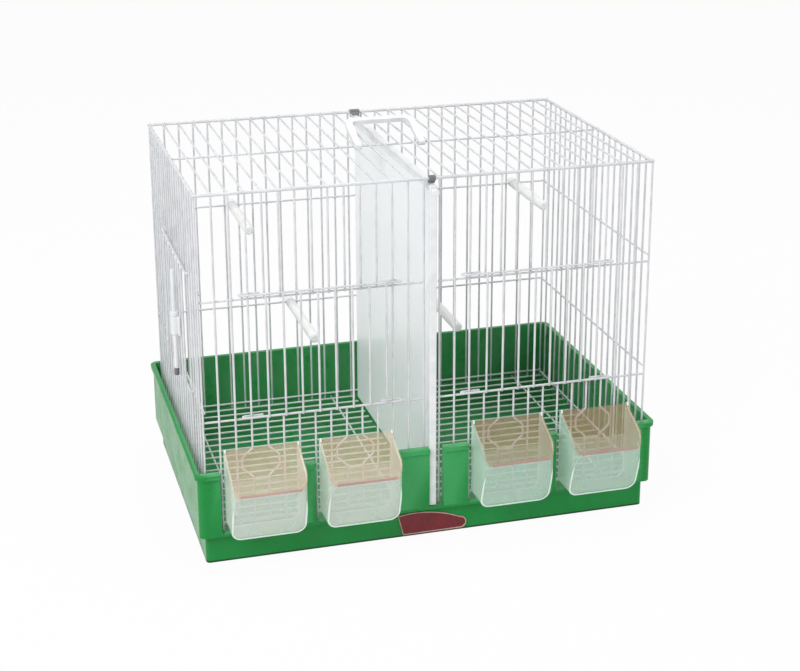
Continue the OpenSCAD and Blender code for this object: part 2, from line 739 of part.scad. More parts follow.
// A perch: a rod whose slotted end is pushed over a level wire of the back
module perch(at, z, length) {
    end_y = half_d + wire_r + perch_tail;
    front_y = level_back_y - wire_r - length;
    slot_h = wire_d + 2 * perch_gap;
    slot_from = level_back_y - wire_r - perch_gap;
    translate([at * wire_pitch, 0, z]) difference() {
        translate([0, front_y, 0]) rotate([-90, 0, 0]) cylinder(h = end_y - front_y, d = perch_d);
        translate([-perch_d, slot_from, -slot_h / 2]) cube([2 * perch_d, end_y, slot_h]);
    }
}

module perch_lower_left() color("silver") perch(-perch_lower_at, side_low_z, perch_lower_left_len);
module perch_lower_right() color("silver") perch(perch_lower_at, side_low_z, perch_lower_right_len);
module perch_upper_left() color("silver") perch(-perch_upper_left_at, side_high_z, perch_upper_len);
module perch_upper_right() color("silver") perch(perch_upper_right_at, side_high_z, perch_upper_len);

base_tray();
front_badge();
floor_grille_left();
floor_grille_right();
front_panel();
back_panel();
side_panel_left();
side_panel_right();
top_panel();
divider_guide();
front_clip();
rear_clip();
perch_lower_left();
perch_lower_right();
perch_upper_left();
perch_upper_right();
divider_panel();
divider_edge();
divider_knob();
door_left();
door_right();
side_door();
bolt_sleeve();
side_bolt();
bolt_tip();
carry_handle();
feeder_cup_1();
feeder_cup_2();
feeder_cup_3();
feeder_cup_4();
feeder_hood_1();
feeder_hood_2();
feeder_hood_3();
feeder_hood_4();
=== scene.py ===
import math
import random

import bmesh
import bpy
from mathutils import Matrix, Vector


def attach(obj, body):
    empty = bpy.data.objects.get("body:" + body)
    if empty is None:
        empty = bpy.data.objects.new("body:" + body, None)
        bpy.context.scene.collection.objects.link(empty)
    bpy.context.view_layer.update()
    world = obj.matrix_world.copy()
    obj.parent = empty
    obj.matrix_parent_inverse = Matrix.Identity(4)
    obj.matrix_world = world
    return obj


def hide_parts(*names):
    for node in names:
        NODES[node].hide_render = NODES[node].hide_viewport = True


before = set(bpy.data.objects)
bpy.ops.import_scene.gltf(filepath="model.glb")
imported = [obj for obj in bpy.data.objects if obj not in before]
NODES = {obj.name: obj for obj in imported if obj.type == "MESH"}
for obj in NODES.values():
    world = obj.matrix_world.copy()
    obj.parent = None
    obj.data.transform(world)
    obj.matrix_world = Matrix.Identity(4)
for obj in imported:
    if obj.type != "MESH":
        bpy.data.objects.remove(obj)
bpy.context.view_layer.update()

# ---------------------------------------------------------------- sizes, in millimetres
MM = 0.001
PITCH = 15.0
FRONT_SPACES = 29
SIDE_SPACES = 19
WIRE_R = 1.0
EDGE_R = 1.5
STEP = 1.8
WIRE_SIDES = 12
ROOF_Z = 355.5
LEDGE_Z = 30.5
HALF_W = FRONT_SPACES * PITCH / 2
HALF_D = SIDE_SPACES * PITCH / 2
FOOT_Z = 38.0
FRONT_LEVELS = (FOOT_Z, 140.0, 256.0)
SIDE_LEVELS = (FOOT_Z, 150.0, 264.0)

HEAD_HOLES = (-11, -5, 5, 11)
HOLE_LOW = 82.0
HOLE_HIGH = 111.0
HOLE_SPREAD = 10.0
HOLE_LEAN = 9.0
BEND_R = 3.0

# How far the middle of a long wire strays from straight, at most, and its quarters' share of that
UPRIGHT_BOW = 0.18
ROOF_BOW = 0.1
GRILLE_BOW = 0.12
DOOR_BOW = 0.12
QUARTER_SWAY = 0.7

# A wire's rounded end: how far in, and how thick, as shares of the wire's radius
WIRE_END = ((0.0, 0.5), (0.16, 0.84), (0.5, 1.0))

# A weld's lump: its size along the wires and across them, as shares of the wire's radius
WELD_SPREAD = (1.3, 1.5)
WELD_ACROSS = 0.95
# The welds at the roof: how far inside the walls they lie, and the radius of the roof wires' own
EDGE_WELD_IN = 0.4
ROOF_WELD_IN = 0.9
ROOF_WELD_R = 1.15

DOOR_SPACES = 9
DOOR_GUIDES = (-11.5, 2.5)
DOOR_WIRES = 8
DOOR_FIRST = 15.75
DOOR_STEP = 16.0
RAIL_OUT = 2.5
DOOR_WIRE_OUT = 4.3
RAIL_LIFT = 2.1
DOOR_LAP = 4.5
HOOK_REACH = 9.0
HOOK_LEG = 17.0
SIDE_DOOR_START = 4

GRILLE_R = 1.0
GRILLE_OUTER = 221.5
GRILLE_INNER = 5.0
GRILLE_Z = 33.3
SUPPORT_Z = 31.5
SUPPORT_AT = (184.5, 30.0)
SUPPORT_REACH = 146.5

PERCH_R = 5.0
PERCH_END_Y = 147.5
PERCH_SLOT_Y = 139.6
PERCH_SLOT_HALF = 1.1
PERCH_FLUTES = 14
FLUTE_STEPS = 4
FLUTE_DEPTH = 0.035
# Where the rings of a perch lie, and their share of its full size: behind its front end, before
# its slot, and along the two prongs beside the slot
PERCH_TIP = ((0.0, 0.62), (0.25, 0.82), (0.9, 0.94), (1.8, 1.0))
PERCH_REAR = ((PERCH_SLOT_Y - 30.0, 1.0), (PERCH_SLOT_Y, 1.0))
PERCH_PRONG = ((PERCH_SLOT_Y - 3.0, 0.98), (PERCH_END_Y - 0.8, 1.0), (PERCH_END_Y, 0.86))
PERCHES = (
    ("perch_lower_left", -75.0, 150.0, 19.7),
    ("perch_lower_right", 75.0, 150.0, 9.7),
    ("perch_upper_left", -135.0, 264.0, 42.7),
    ("perch_upper_right", 180.0, 264.0, 42.7),
)

# A cup: half its width, its underside, the height that all of its rims lie above, the widest
# face that counts as a rim, the radius of its lower corners, and how wide its edges shine
CUP_HALF = 35.2
CUP_LOW = 33.0
CUP_RIM_LOW = 70.0
CUP_RIM_W = 2.2
CUP_CORNER = 10.0
CUP_SHINE = 1.7
# How high the turned front edge of a hood is
HOOD_EDGE_H = 3.0
# The feeders stand in pairs: the middle of a pair, and half the way between its two
PAIR_MIDDLE = 120.0
PAIR_HALF = 45.0

BADGE_RIM = 0.75
BADGE_SLOPE = 0.25
BADGE_SUNK = 0.35

# The film of dust in the tray: the half sizes that its inner faces lie within, the step below
# which the foot's faces lie further in, by how much, and over how much the film's edge fades
DUST_HALF_W = 225.0
DUST_HALF_D = 150.0
DUST_STEP_Z = 29.0
DUST_FOOT_IN = 6.0
DUST_FADE = 2.0

# A CAD mesh: how near two corners are one, and how flat an edge is no edge, in degrees
MERGE_WITHIN = 0.002
FLAT_ANGLE = 0.8
# The angles, in degrees, over which an edge is rounded
SHARP = 30.0
FEEDER_SHARP = 24.0

# What draws each welded piece's sways and the sizes of its welds
SEEDS = {
    "front_panel": 11, "back_panel": 12, "side_panel_left": 13, "side_panel_right": 14,
    "top_panel": 15, "floor_grille_left": 16, "floor_grille_right": 17,
    "door_left": 21, "door_right": 22, "side_door": 23,
}

# The studio: the floor's side and how far it lies below the cage, in metres, how much of it shows
# as plain white, and how strongly the world lights the cage
FLOOR_SIDE = 12.0
FLOOR_DROP = 0.0004
FLOOR_WHITE = 0.95
WORLD_DIFFUSE = 0.44


# ---------------------------------------------------------------- shader words
class Term:
    """One value that varies over a surface. Sums and products of terms add Math nodes."""

    def __init__(self, finish, socket):
        self.finish = finish
        self.socket = socket

    def join(self, operation, first, second):
        return self.finish.node("ShaderNodeMath", {"operation": operation}, {0: first, 1: second})

    def __add__(self, other):
        return self.join("ADD", self, other)

    def __sub__(self, other):
        return self.join("SUBTRACT", self, other)

    def __rsub__(self, other):
        return self.join("SUBTRACT", other, self)

    def __mul__(self, other):
        return self.join("MULTIPLY", self, other)

    def __pow__(self, other):
        return self.join("POWER", self, other)

    def __abs__(self):
        return self.join("ABSOLUTE", self, 0.0)

    def at_least(self, floor_value):
        return self.join("MAXIMUM", self, floor_value)

    __radd__ = __add__
    __rmul__ = __mul__

    def clamped(self):
        return self.finish.node(
            "ShaderNodeClamp", {}, {"Value": self, "Min": 0.0, "Max": 1.0})


class Finish:
    """A material that is being made: its nodes, its shader and its patterns."""

    def __init__(self, name, **constants):
        self.material = bpy.data.materials.new(name)
        self.material.use_nodes = True
        self.tree = self.material.node_tree
        self.tree.nodes.clear()
        self.output = self.tree.nodes.new("ShaderNodeOutputMaterial")
        self.shader = self.tree.nodes.new("ShaderNodeBsdfPrincipled")
        self.tree.links.new(self.shader.outputs[0], self.output.inputs[0])
        self.place = self.node("ShaderNodeTexCoord", {}, {}, "Object")
        for socket, value in constants.items():
            self.set(socket.replace("_", " "), value)

    def node(self, kind, settings, inputs, output=0):
        made = self.tree.nodes.new(kind)
        for key, value in settings.items():
            setattr(made, key, value)
        for key, value in inputs.items():
            self.feed(made.inputs[key], value)
        return Term(self, made.outputs[output])

    def feed(self, socket, value):
        if isinstance(value, Term):
            self.tree.links.new(value.socket, socket)
        elif isinstance(value, tuple) and len(value) == 3 and socket.type == "RGBA":
            socket.default_value = (*value, 1.0)
        else:
            socket.default_value = value

    def set(self, socket, value):
        self.feed(self.shader.inputs[socket], value)

    def noise(self, scale, detail=3.0, roughness=0.55, stretch=(1.0, 1.0, 1.0),
              shift=(0.0, 0.0, 0.0)):
        place = self.node("ShaderNodeMapping", {},
                          {"Vector": self.place, "Scale": stretch, "Location": shift})
        return self.node(
            "ShaderNodeTexNoise", {},
            {"Vector": place, "Scale": scale, "Detail": detail, "Roughness": roughness})

    def cells(self, scale):
        return self.node("ShaderNodeTexVoronoi", {}, {"Vector": self.place, "Scale": scale})

    def between(self, value, low, high, to_low=0.0, to_high=1.0):
        return self.node(
            "ShaderNodeMapRange", {"clamp": True, "interpolation_type": "SMOOTHSTEP"},
            {"Value": value, "From Min": low, "From Max": high,
             "To Min": to_low, "To Max": to_high})

    def colour(self, share, first, second):
        return self.node("ShaderNodeMix", {"data_type": "RGBA"}, {0: share, 6: first, 7: second}, 2)

    def along(self, axis):
        """Where a point stands along an axis, in metres."""
        return self.node("ShaderNodeSeparateXYZ", {}, {"Vector": self.place}, axis)

    def height(self):
        return self.along("Z")

    def faces_front(self):
        """1 where the surface looks to the front or the back, 0 where it looks aside or up."""
        normal = self.node("ShaderNodeNewGeometry", {}, {}, "Normal")
        forward = self.node("ShaderNodeSeparateXYZ", {}, {"Vector": normal}, "Y")
        return self.between(abs(forward), 0.6, 0.85)

    def pointiness(self):
        return self.node("ShaderNodeNewGeometry", {}, {}, "Pointiness")

    def worn_edge(self, low, high):
        """Where the surface is convex, from 0 to 1."""
        return self.between(self.pointiness(), low, high)

    def relief(self, heights):
        """Bumps from (height, strength, distance in metres), laid over each other."""
        normal = None
        for height, strength, distance in heights:
            inputs = {"Height": height, "Strength": strength, "Distance": distance}
            if normal is not None:
                inputs["Normal"] = normal
            normal = self.node("ShaderNodeBump", {}, inputs)
        self.set("Normal", normal)


def srgb(red, green, blue):
    """A colour read off a screen, from 0 to 255, as linear light."""
    def linear(value):
        value = value / 255
        return value / 12.92 if value <= 0.04045 else ((value + 0.055) / 1.055) ** 2.4
    return (linear(red), linear(green), linear(blue))


# ---------------------------------------------------------------- finishes
def coated_wire(name, clean, dusty, rough):
    """Dip-coated wire: a soft skin with small runs, dust in the coating and dull patches."""
    f = Finish(name, Specular_IOR_Level=0.5, Coat_Roughness=0.2)
    mottle = f.noise(55.0, detail=4.0, roughness=0.6)
    runs = f.noise(220.0, detail=3.0, roughness=0.5, stretch=(1.0, 1.0, 0.35))
    specks = f.between(f.cells(900.0), 0.02, 0.16, 1.0, 0.0) * f.between(f.noise(130.0), 0.52, 0.7)
    base = f.colour(f.between(mottle, 0.35, 0.72), clean, dusty)
    base = f.colour(specks * 0.35, base, srgb(150, 146, 138))
    f.set("Base Color", base)
    f.set("Roughness", f.between(mottle + runs * 0.5, 0.4, 1.1, rough, rough + 0.22))
    f.set("Coat Weight", f.between(runs, 0.35, 0.7, 0.3, 0.1))
    f.relief([(runs, 0.5, 0.00018), (f.noise(1500.0, detail=2.0), 0.25, 0.00004)])
    return f.material


def moulded_green():
    """Moulded green plastic: flow marks, rubbed edges, scuffs low down, a film of dust inside, and
    a painted contact shadow along its bottom edge.
    """
    f = Finish("tray_green_plastic", Specular_IOR_Level=0.22, Coat_Roughness=0.18)
    flow = f.noise(9.0, detail=3.0, roughness=0.5, stretch=(1.0, 1.0, 2.2))
    cloud = f.noise(38.0, detail=4.0, roughness=0.6, shift=(0.3, 0.1, 0.7))
    grain = f.noise(1400.0, detail=2.0, roughness=0.5)
    scratches = f.between(f.noise(60.0, detail=5.0, roughness=0.7, stretch=(0.6, 0.6, 14.0)),
                          0.66, 0.74)
    level = f.between(f.height(), 0.0, 0.022, 1.0, 0.0)
    base = f.colour(f.between(flow, 0.3, 0.7), srgb(16, 136, 58), srgb(24, 146, 66))
    base = f.colour(f.between(cloud, 0.42, 0.8) * 0.35, base, srgb(16, 122, 52))
    base = f.colour(f.worn_edge(0.53, 0.62) * 0.45, base, srgb(84, 186, 118))
    base = f.colour(scratches * (0.12 + level * 0.3), base, srgb(120, 196, 146))
    foot = f.between(f.height(), (DUST_STEP_Z - 1) * MM, (DUST_STEP_Z + 1) * MM,
                     DUST_FOOT_IN * MM, 0.0)
    in_width, in_depth = (
        f.between(abs(f.along(axis)) + foot, (half - DUST_FADE) * MM, half * MM, 1.0, 0.0)
        for axis, half in (("X", DUST_HALF_W), ("Y", DUST_HALF_D)))
    dust = in_width * in_depth * f.between(cloud, 0.25, 0.75, 0.1, 0.26)
    base = f.colour(dust, base, srgb(150, 196, 166))
    # Painted contact shadow: the lowest few millimetres of the tray are darkened as shade where it
    # stands on the floor.
    painted_contact_shadow = f.between(f.height(), 0.0012, 0.0028, 1.0, 0.0)
    base = f.colour(painted_contact_shadow * 0.85, base, srgb(4, 34, 18))
    f.set("Base Color", base)
    f.set("Roughness", f.between(cloud + scratches * 0.4, 0.3, 1.0, 0.26, 0.5))
    f.set("Coat Weight", f.between(flow, 0.35, 0.65, 0.16, 0.06))
    f.relief([(flow, 0.18, 0.0006), (scratches, 0.2, 0.00005), (grain, 0.22, 0.00003)])
    return f.material


def moulded_white():
    """White moulded plastic with faint flow marks and a fine grain."""
    f = Finish("moulded_white_plastic", Specular_IOR_Level=0.5)
    flow = f.noise(70.0, detail=3.0, roughness=0.55)
    grain = f.noise(1800.0, detail=2.0)
    marks = f.between(f.noise(160.0, detail=5.0, roughness=0.7, stretch=(1.0, 1.0, 6.0)),
                      0.64, 0.74)
    base = f.colour(f.between(flow, 0.35, 0.7), srgb(240, 241, 242), srgb(229, 231, 233))
    base = f.colour(f.worn_edge(0.54, 0.64) * 0.3, base, srgb(246, 247, 247))
    base = f.colour(marks * 0.2, base, srgb(178, 178, 174))
    f.set("Base Color", base)
    f.set("Roughness", f.between(flow, 0.3, 0.75, 0.3, 0.48))
    f.relief([(flow, 0.15, 0.0003), (grain, 0.2, 0.00003)])
    return f.material


def divider_sheet_finish():
    """Extruded sheet: faint draw lines down its length, scuffs where birds stand against it, and a
    faint bluish painted glow.
    """
    # The faint bluish white emission is painted light: the sheet glows though it is no lamp.
    f = Finish("divider_white_sheet", Specular_IOR_Level=0.5, Emission_Color=(0.9, 0.93, 1.0, 1.0),
               Emission_Strength=0.1)
    lines = f.noise(240.0, detail=3.0, roughness=0.6, stretch=(1.0, 1.0, 0.03))
    cloud = f.noise(14.0, detail=4.0, roughness=0.6)
    scuffs = f.between(f.noise(90.0, detail=6.0, roughness=0.72, stretch=(1.0, 3.5, 1.0)),
                       0.63, 0.74)
    low = f.between(f.height(), 0.03, 0.12, 1.0, 0.0)
    base = f.colour(f.between(cloud, 0.3, 0.75), srgb(250, 251, 252), srgb(242, 245, 247))
    base = f.colour(scuffs * (0.1 + low * 0.3), base, srgb(190, 192, 186))
    f.set("Base Color", base)
    f.set("Roughness", f.between(cloud + lines * 0.3, 0.4, 1.0, 0.32, 0.52))
    f.relief([(lines, 0.2, 0.00008), (f.noise(1300.0, detail=2.0), 0.15, 0.00003)])
    return f.material


def dark_plastic_and_shade_finish():
    """Dark grey nylon, dull, with rubbed grey edges: the bolt's tip, the dark piece on the back top
    wire, and the front clip, a dark piece that is painted shade between the front top wire and the
    divider's top.
    """
    f = Finish("dark_plastic_and_painted_shade", Specular_IOR_Level=0.45)
    cloud = f.noise(260.0, detail=4.0, roughness=0.6)
    base = f.colour(f.between(cloud, 0.35, 0.7), srgb(104, 106, 109), srgb(120, 122, 124))
    base = f.colour(f.worn_edge(0.53, 0.62) * 0.6, base, srgb(150, 152, 154))
    f.set("Base Color", base)
    f.set("Roughness", f.between(cloud, 0.3, 0.75, 0.38, 0.6))
    f.relief([(cloud, 0.25, 0.00006)])
    return f.material


def perch_finish():
    """Pale ribbed plastic, darker in the flutes, with claw marks along the top."""
    f = Finish("perch_pale_plastic", Specular_IOR_Level=0.45)
    claws = f.between(f.noise(210.0, detail=5.0, roughness=0.7, stretch=(1.0, 5.0, 1.0)), 0.6, 0.72)
    cloud = f.noise(48.0, detail=4.0, roughness=0.6)
    hollow = f.between(f.pointiness(), 0.44, 0.5, 1.0, 0.0)
    base = f.colour(f.between(cloud, 0.3, 0.7), srgb(251, 251, 250), srgb(243, 244, 242))
    base = f.colour(hollow * 0.2, base, srgb(206, 207, 206))
    base = f.colour(claws * 0.25, base, srgb(168, 165, 158))
    f.set("Base Color", base)
    f.set("Roughness", f.between(cloud + claws * 0.4, 0.3, 1.0, 0.4, 0.66))
    f.relief([(claws, 0.3, 0.0001), (f.noise(1200.0, detail=2.0), 0.2, 0.00003)])
    return f.material


def badge_field_finish():
    """Dark red printed field under a clear skin, with tiny pits."""
    f = Finish("badge_red_field", Specular_IOR_Level=0.35, Coat_Weight=0.15, Coat_Roughness=0.12)
    cloud = f.noise(120.0, detail=4.0, roughness=0.6)
    pits = f.between(f.cells(700.0), 0.03, 0.14, 1.0, 0.0) * f.between(f.noise(300.0), 0.55, 0.68)
    base = f.colour(f.between(cloud, 0.3, 0.7), srgb(108, 16, 26), srgb(124, 24, 34))
    base = f.colour(pits * 0.5, base, srgb(176, 96, 100))
    f.set("Base Color", base)
    f.set("Roughness", f.between(cloud, 0.3, 0.75, 0.24, 0.42))
    f.relief([(cloud, 0.15, 0.0001), (pits, 0.2, 0.00004)])
    return f.material


def badge_rim_finish():
    """Pale pinkish enamel of the badge's raised rim."""
    f = Finish("badge_pale_rim", Specular_IOR_Level=0.5)
    cloud = f.noise(300.0, detail=4.0, roughness=0.6)
    base = f.colour(f.between(cloud, 0.35, 0.7), srgb(214, 176, 168), srgb(196, 150, 142))
    f.set("Base Color", base)
    f.set("Roughness", f.between(cloud, 0.3, 0.75, 0.3, 0.5))
    f.relief([(cloud, 0.2, 0.00005)])
    return f.material


def cup_outline(f):
    """Where a cup's front nears its sides, its bottom and its two round lower corners."""
    off = abs(abs(abs(f.along("X")) - PAIR_MIDDLE * MM) - PAIR_HALF * MM)
    aside = (off - (CUP_HALF - CUP_CORNER) * MM).at_least(0.0)
    below = ((CUP_LOW + CUP_CORNER) * MM - f.height()).at_least(0.0)
    reach = (aside * aside + below * below) ** 0.5
    inner = (CUP_CORNER - CUP_SHINE) * MM
    return f.between(reach, inner - 0.0003, inner + 0.0003) * f.faces_front()


def see_through(name, tone, cloudy, alpha, rough, haze=0.12, skirt=0.3, outlined=None):
    """Clear moulded plastic: a milky veil, denser where it is scuffed or seen edge on.

    outlined is the colour of a cup's thick edges, which show along its front's outline."""
    f = Finish(name, Specular_IOR_Level=0.6)
    cloud = f.noise(45.0, detail=4.0, roughness=0.6)
    scuffs = f.between(f.noise(150.0, detail=6.0, roughness=0.7, stretch=(1.0, 1.0, 4.0)),
                       0.6, 0.76)
    edge_on = f.node("ShaderNodeLayerWeight", {}, {"Blend": 0.5}, "Facing") ** 2.5
    base = f.colour(f.between(cloud, 0.3, 0.72), tone, cloudy)
    veil = f.between(cloud, 0.3, 0.8, alpha, alpha + haze) + scuffs * 0.08 + edge_on * skirt
    if outlined is not None:
        outline = cup_outline(f)
        base = f.colour(outline, base, outlined)
        veil = veil + outline * 0.6
    f.set("Base Color", base)
    f.set("Alpha", veil.clamped())
    f.set("Roughness", f.between(cloud + scuffs * 0.5, 0.3, 1.1, rough, rough + 0.2))
    f.relief([(f.noise(26.0, detail=2.0), 0.25, 0.0005), (scuffs, 0.15, 0.00005)])
    return f.material


WHITE_WIRE = coated_wire("wire_white_coat", srgb(222, 223, 226), srgb(204, 205, 209), 0.34)
GRILLE_WIRE = coated_wire("grille_white_coat", srgb(222, 232, 226), srgb(202, 214, 206), 0.36)
TRAY_GREEN = moulded_green()
WHITE_PLASTIC = moulded_white()
DIVIDER_SHEET = divider_sheet_finish()
DARK_PLASTIC_AND_SHADE = dark_plastic_and_shade_finish()
PERCH_PALE = perch_finish()
BADGE_FIELD = badge_field_finish()
BADGE_PALE = badge_rim_finish()
CUP_CLEAR = see_through("cup_clear_plastic", srgb(226, 246, 234), srgb(210, 238, 222), 0.21, 0.14,
                        skirt=0.5, outlined=srgb(240, 254, 246))
CUP_MILKY = see_through("cup_milky_plastic", srgb(250, 255, 247), srgb(238, 250, 240), 0.22, 0.18,
                        haze=0.07, skirt=0.4, outlined=srgb(244, 255, 248))
CUP_EDGE = see_through("cup_bright_edge", srgb(240, 254, 246), srgb(226, 250, 236), 0.85, 0.2)
HOOD_TINTED = see_through("hood_tinted_plastic", srgb(194, 160, 124), srgb(180, 148, 112),
                          0.22, 0.14)
HOOD_MILKY = see_through("hood_milky_plastic", srgb(240, 212, 184), srgb(226, 198, 168),
                         0.22, 0.16)
HOOD_EDGE = see_through("hood_pink_edge", srgb(206, 150, 142), srgb(186, 126, 120), 0.6, 0.24)


# ---------------------------------------------------------------- wires by Geometry Nodes
def wire_tree():
    """Turns centre lines into coated wires, and lone points into the lumps of their welds."""
    tree = bpy.data.node_groups.new("coated_wires", "GeometryNodeTree")
    face = tree.interface
    face.new_socket("Centre Lines", in_out="INPUT", socket_type="NodeSocketGeometry")
    sides = face.new_socket("Wire Sides", in_out="INPUT", socket_type="NodeSocketInt")
    sides.default_value = WIRE_SIDES
    finish = face.new_socket("Wire Finish", in_out="INPUT", socket_type="NodeSocketMaterial")
    face.new_socket("Wires", in_out="OUTPUT", socket_type="NodeSocketGeometry")

    def add(kind, inputs, **settings):
        made = tree.nodes.new(kind)
        for key, value in settings.items():
            setattr(made, key, value)
        for key, value in inputs.items():
            if isinstance(value, bpy.types.NodeSocket):
                tree.links.new(value, made.inputs[key])
            else:
                made.inputs[key].default_value = value
        return made

    given = add("NodeGroupInput", {})
    is_weld = add("GeometryNodeInputNamedAttribute", {"Name": "is_weld"}, data_type="BOOLEAN")
    size = add("GeometryNodeInputNamedAttribute", {"Name": "weld_size"}, data_type="FLOAT_VECTOR")
    thick = add("GeometryNodeInputNamedAttribute", {"Name": "wire_radius"}, data_type="FLOAT")
    parted = add("GeometryNodeSeparateGeometry",
                 {"Geometry": given.outputs[0], "Selection": is_weld.outputs[0]}, domain="POINT")
    lines = add("GeometryNodeMeshToCurve", {"Mesh": parted.outputs[1]})
    ring = add("GeometryNodeCurvePrimitiveCircle", {"Resolution": given.outputs[1], "Radius": 1.0})
    tubes = add("GeometryNodeCurveToMesh",
                {"Curve": lines.outputs[0], "Profile Curve": ring.outputs[0],
                 "Scale": thick.outputs[0], "Fill Caps": True})
    lump = add("GeometryNodeMeshIcoSphere", {"Radius": 1.0, "Subdivisions": 2})
    lumps = add("GeometryNodeInstanceOnPoints",
                {"Points": parted.outputs[0], "Instance": lump.outputs[0],
                 "Scale": size.outputs[0]})
    both = add("GeometryNodeJoinGeometry", {})
    tree.links.new(lumps.outputs[0], both.inputs[0])
    tree.links.new(tubes.outputs[0], both.inputs[0])
    smooth = add("GeometryNodeSetShadeSmooth", {0: both.outputs[0]})
    real = add("GeometryNodeRealizeInstances", {0: smooth.outputs[0]})
    coated = add("GeometryNodeSetMaterial",
                 {"Geometry": real.outputs[0], "Material": given.outputs[2]})
    tree.links.new(coated.outputs[0], add("NodeGroupOutput", {}).inputs[0])
    return tree, sides.identifier, finish.identifier


WIRE_TREE, SIDES_SOCKET, FINISH_SOCKET = wire_tree()


def rounded_bends(points, radius, steps=4):
    """A line of points with each bend rounded, within the legs on its two sides."""
    if len(points) < 3 or radius <= 0:
        return list(points)
    out = [points[0]]
    for before, corner, after in zip(points, points[1:], points[2:]):
        back, on = (before - corner), (after - corner)
        angle = math.pi - back.angle(on)
        cut = radius * math.tan(angle / 2)
        cut = min(cut, back.length * 0.49, on.length * 0.49)
        start = corner + back.normalized() * cut
        end = corner + on.normalized() * cut
        for i in range(steps + 1):
            t = i / steps
            out.append(start * (1 - t) ** 2 + corner * 2 * t * (1 - t) + end * t ** 2)
    out.append(points[-1])
    return out


class Welded:
    """The centre lines and weld points of one welded piece, in millimetres."""

    def __init__(self, name):
        self.name = name
        self.lines = []
        self.welds = []
        self.chance = random.Random(SEEDS[name])

    def wire(self, points, radius=WIRE_R, bend=0.0, bow=0.0):
        points = [Vector(p) for p in points]
        if bow and len(points) == 2:
            middle = (points[0] + points[1]) / 2
            sway = Vector([self.chance.uniform(-bow, bow) for _ in range(3)])
            along = (points[1] - points[0]).normalized()
            quarter = (points[1] - points[0]) / 4
            sway -= along * sway.dot(along)
            points = [points[0], middle - quarter + sway * QUARTER_SWAY, middle + sway,
                      middle + quarter + sway * QUARTER_SWAY, points[1]]
        points = rounded_bends(points, bend)
        first = (points[1] - points[0]).normalized()
        last = (points[-2] - points[-1]).normalized()
        line = [(points[0] + first * radius * inward, radius * share)
                for inward, share in WIRE_END]
        line += [(p, radius) for p in points[1:-1]]
        line += [(points[-1] + last * radius * inward, radius * share)
                 for inward, share in reversed(WIRE_END)]
        self.lines.append(line)

    def weld(self, point, across, radius=WIRE_R):
        """A lump where two wires cross; across is the axis from one wire to the other."""
        size = [radius * self.chance.uniform(*WELD_SPREAD) for _ in range(3)]
        size[across] = radius * WELD_ACROSS
        self.welds.append((Vector(point), size))

    def piece(self, body, slot, finish, matrix=Matrix.Identity(4)):
        mesh = bpy.data.meshes.new(self.name + "_lines")
        points, edges, radii, is_weld, sizes = [], [], [], [], []
        for line in self.lines:
            start = len(points)
            points += [matrix @ p * MM for p, _ in line]
            radii += [r * MM for _, r in line]
            edges += [(start + i, start + i + 1) for i in range(len(line) - 1)]
        is_weld += [False] * len(points)
        sizes += [(0.0, 0.0, 0.0)] * len(points)
        turned = matrix.to_3x3()
        for point, size in self.welds:
            points.append(matrix @ point * MM)
            radii.append(0.0)
            is_weld.append(True)
            sizes.append(tuple(abs(v) * MM for v in turned @ Vector(size)))
        mesh.from_pydata(points, edges, [])
        for label, kind, values, field in (
                ("wire_radius", "FLOAT", radii, "value"),
                ("is_weld", "BOOLEAN", is_weld, "value"),
                ("weld_size", "FLOAT_VECTOR", [v for s in sizes for v in s], "vector")):
            mesh.attributes.new(label, kind, "POINT").data.foreach_set(field, values)
        guide = bpy.data.objects.new(self.name + "_guide", mesh)
        bpy.context.scene.collection.objects.link(guide)
        maker = guide.modifiers.new("wires", "NODES")
        maker.node_group = WIRE_TREE
        maker[SIDES_SOCKET] = WIRE_SIDES
        maker[FINISH_SOCKET] = finish
        place_piece(baked(guide, self.name), body, self.name)


def baked(source, name):
    """The evaluated mesh of an object as a plain object; the source is removed."""
    shown = source.evaluated_get(bpy.context.evaluated_depsgraph_get())
    mesh = bpy.data.meshes.new_from_object(shown)
    mesh.name = name
    for attribute in [a.name for a in mesh.attributes]:
        if attribute in ("wire_radius", "is_weld", "weld_size"):
            mesh.attributes.remove(mesh.attributes[attribute])
    if mesh.materials and mesh.materials[0] is None:
        mesh.materials.pop(index=0)
        mesh.polygons.foreach_set("material_index", [0] * len(mesh.polygons))
    bpy.data.objects.remove(source)
    made = bpy.data.objects.new(name + "_look", mesh)
    bpy.context.scene.collection.objects.link(made)
    return made


def place_piece(piece, body, node):
    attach(piece, body)
    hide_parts(node)


# ---------------------------------------------------------------- wire panels
def head_hole_side(at):
    """Which way an upright leans round a head hole: -1, 0 or 1."""
    for hole in HEAD_HOLES:
        if abs(at - hole) == 0.5:
            return 1 if at > hole else -1
    return 0


def in_door(at):
    return any(guide < at < guide + DOOR_SPACES for guide in DOOR_GUIDES)


